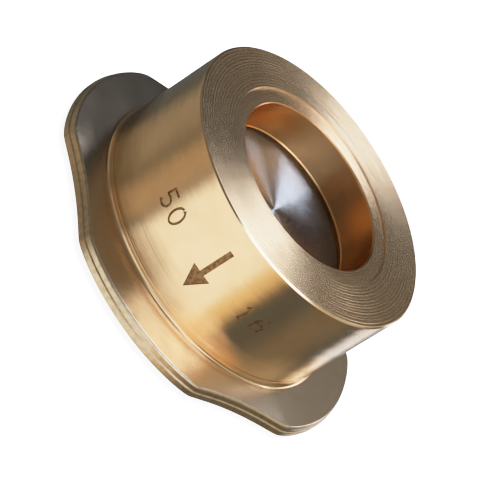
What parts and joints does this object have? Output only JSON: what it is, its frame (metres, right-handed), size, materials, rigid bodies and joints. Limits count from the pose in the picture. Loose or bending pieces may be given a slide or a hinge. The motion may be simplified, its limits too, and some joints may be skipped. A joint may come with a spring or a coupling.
{
  "type": "disc check valve",
  "caption": "Wafer pattern spring loaded disc check valve with a turned brass barrel, a lobed centring flange and a steel disc seen through the inlet bore.",
  "frame": {"origin": "centre of the outlet sealing face, on the valve axis", "axes": "+Z along the valve axis towards the inlet, -Y through the lobe that carries the flow arrow's side of the barrel"},
  "size_m": [0.107, 0.107, 0.04],
  "materials": {
    "brass_body": "turned brass on the barrel, the faces and the bore, as forged on the flange",
    "turned_steel": "face turned stainless steel",
    "spring_wire": "drawn stainless wire",
    "pressed_steel": "pressed stainless sheet",
    "dark_steel": "spring steel, dull"
  },
  "bodies": {
    "housing": {"body": "brass_body", "spring_retainer": "pressed_steel", "retaining_ring": "dark_steel", "closing_spring": "spring_wire"},
    "disc": {"valve_disc": "turned_steel"}
  },
  "joints": [
    {"name": "disc_lift", "type": "slide", "parent": "housing", "child": "disc", "axis": [0, 0, -1], "range_m": [0, 0.009], "stiffness_N_per_m": 400, "springref_m": -0.0092, "deforming": ["closing_spring"]}
  ]
}
